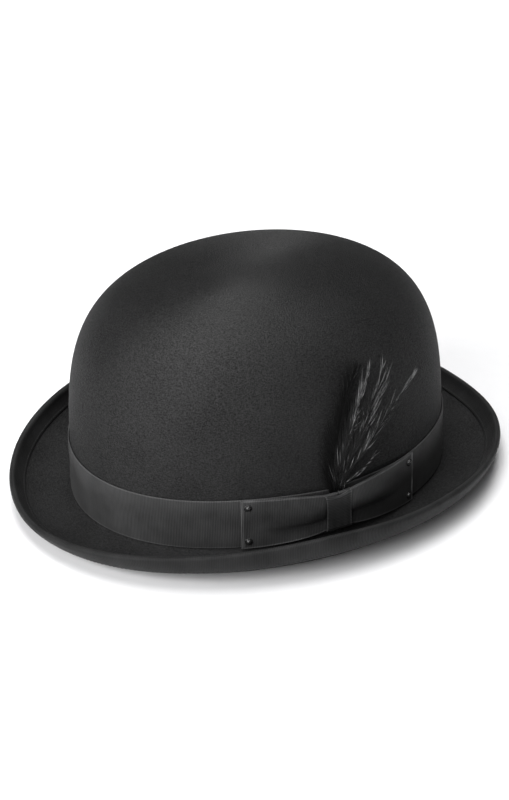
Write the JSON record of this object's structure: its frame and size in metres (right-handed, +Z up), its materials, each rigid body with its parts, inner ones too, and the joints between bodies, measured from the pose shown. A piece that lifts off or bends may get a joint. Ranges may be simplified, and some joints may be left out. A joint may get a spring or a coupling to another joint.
{
  "type": "bowler hat",
  "caption": "Stiff felt bowler hat with a rolled ribbon-bound brim, hat band, pressed bow with studs, feather spray, sweatband and lining.",
  "frame": {"origin": "middle of the footprint, on the table that the brim stands on", "axes": "+Z up through the crown, +Y towards the back of the hat, +X towards the wearer's left, where the bow is"},
  "size_m": [0.2316, 0.2746, 0.1193],
  "materials": {
    "felt": "brushed black felt with a soft sheen",
    "binding_ribbon": "black grosgrain ribbon",
    "band_ribbon": "black grosgrain ribbon",
    "bow_ribbon": "black grosgrain ribbon, pressed",
    "stud_metal": "glossy black dome",
    "feather": "black barbs with pale glossy tips",
    "thread": "black sewing thread",
    "sweatband_leather": "smooth black leather",
    "lining_satin": "black satin"
  },
  "bodies": {
    "hat": {"felt_body": "felt", "brim_binding": "binding_ribbon", "hat_band": "band_ribbon", "bow_wing_front": "bow_ribbon", "bow_wing_rear": "bow_ribbon", "bow_knot": "bow_ribbon", "bow_stud_1": "stud_metal", "bow_stud_2": "stud_metal", "bow_stud_3": "stud_metal", "bow_stud_4": "stud_metal", "sweatband": "sweatband_leather", "sweatband_reed": "sweatband_leather", "sweatband_bow": "bow_ribbon", "lining_wall": "lining_satin", "lining_tip": "lining_satin"},
    "feather_spray": {"feather_plume": "feather", "feather_left": "feather", "feather_middle": "feather", "feather_right": "feather", "feather_short": "feather", "feather_tie": "thread"}
  },
  "joints": [
    {"name": "feather_draw", "type": "slide", "parent": "hat", "child": "feather_spray", "axis": [0, 0, 1], "range_m": [0, 0.03]}
  ]
}
